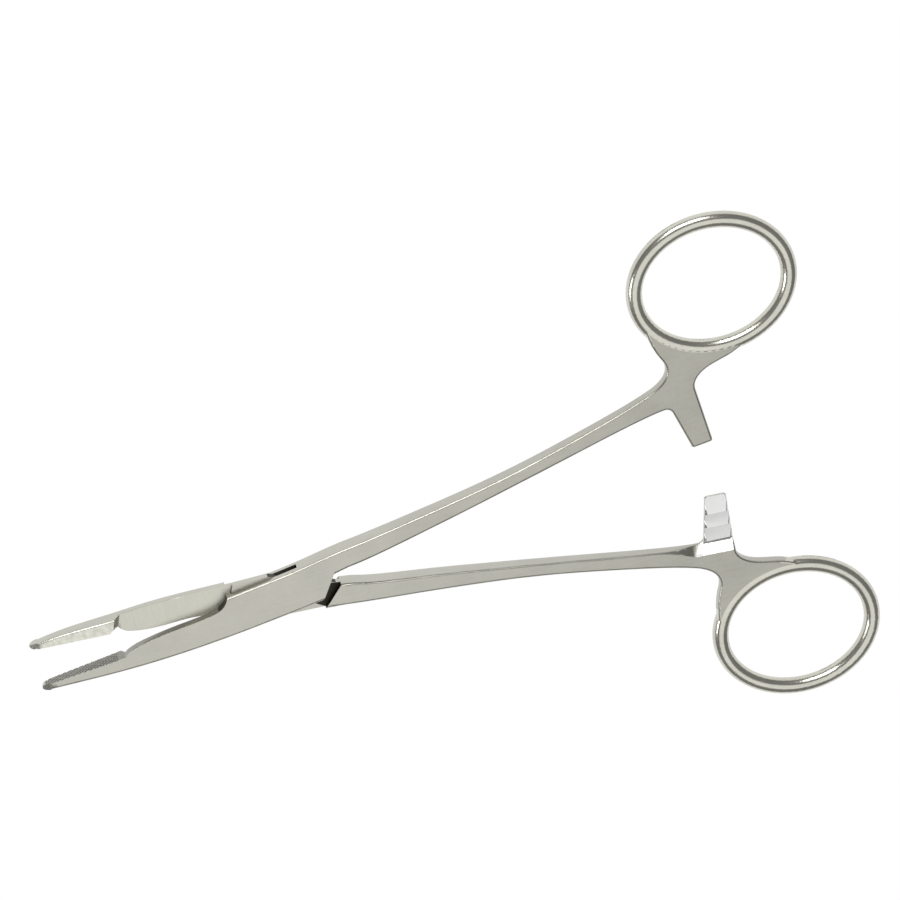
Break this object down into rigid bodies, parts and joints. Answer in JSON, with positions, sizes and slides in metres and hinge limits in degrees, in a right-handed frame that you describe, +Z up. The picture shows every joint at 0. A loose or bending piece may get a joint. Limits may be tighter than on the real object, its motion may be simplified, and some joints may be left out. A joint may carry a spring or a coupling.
{
  "type": "surgical needle holder",
  "caption": "Hinged needle holder with a box lock, crosshatched grips, two overlapping cutting blades behind them, a ratchet between the shanks and two finger rings.",
  "frame": {"origin": "on the pivot axis, at the lower face of the box lock", "axes": "+X from the pivot towards the finger rings along the line between the halves, +Z up from the face that rests, +Y across the instrument"},
  "size_m": [0.1567, 0.0982, 0.005],
  "materials": {
    "box_half_steel": "satin stainless steel",
    "tongue_half_steel": "satin stainless steel",
    "pin_steel": "satin stainless steel, flush with the box"
  },
  "bodies": {
    "box_body": {"box_half": "box_half_steel", "pivot_pin": "pin_steel"},
    "tongue_body": {"tongue_half": "tongue_half_steel"}
  },
  "joints": [
    {"name": "box_lock", "type": "hinge", "parent": "box_body", "child": "tongue_body", "pos_m": [0, 0, 0.0025], "axis": [0, 0, 1], "range_deg": [-30, 8.94]}
  ]
}
